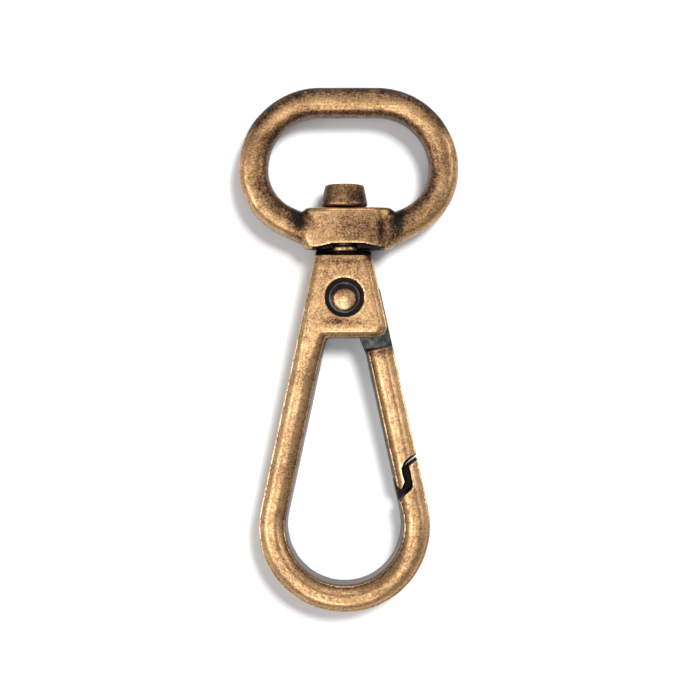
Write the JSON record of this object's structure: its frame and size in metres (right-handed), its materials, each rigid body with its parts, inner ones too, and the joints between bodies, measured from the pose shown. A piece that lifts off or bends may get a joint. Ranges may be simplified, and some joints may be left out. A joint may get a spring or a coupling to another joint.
{
  "type": "swivel snap hook",
  "caption": "Small swivel snap hook in antique brass finish: oval strap loop on a swivel stud, pear-shaped hook and a sprung gate that opens inwards.",
  "frame": {"origin": "on the surface the hook lies on, at the middle of its outline", "axes": "+X across the hook towards the gate, +Y along it towards the strap loop, +Z out of its front face"},
  "size_m": [0.0264, 0.0628, 0.0057],
  "materials": {
    "antique_brass": "antique plated and relieved zinc casting",
    "rivet_brass": "antique plated, polished dome",
    "stud_brass": "antique plated, darker patina",
    "spring_steel": "drawn wire"
  },
  "bodies": {
    "hook": {"hook_body": "antique_brass", "swivel_stud": "stud_brass", "gate_rivet": "rivet_brass", "gate_spring": "spring_steel"},
    "gate": {"gate": "antique_brass"},
    "loop": {"swivel_loop": "antique_brass"}
  },
  "joints": [
    {"name": "gate_pivot", "type": "hinge", "parent": "hook", "child": "gate", "pos_m": [0, 0.00627, 0.0028], "axis": [0, 0, -1], "range_deg": [0, 27], "stiffness_Nm_per_rad": 0.02, "springref_deg": -34.38, "deforming": ["gate_spring"]},
    {"name": "loop_swivel", "type": "hinge", "parent": "hook", "child": "loop", "pos_m": [0, 0.0148, 0.0028], "axis": [0, 1, 0], "continuous": true}
  ]
}
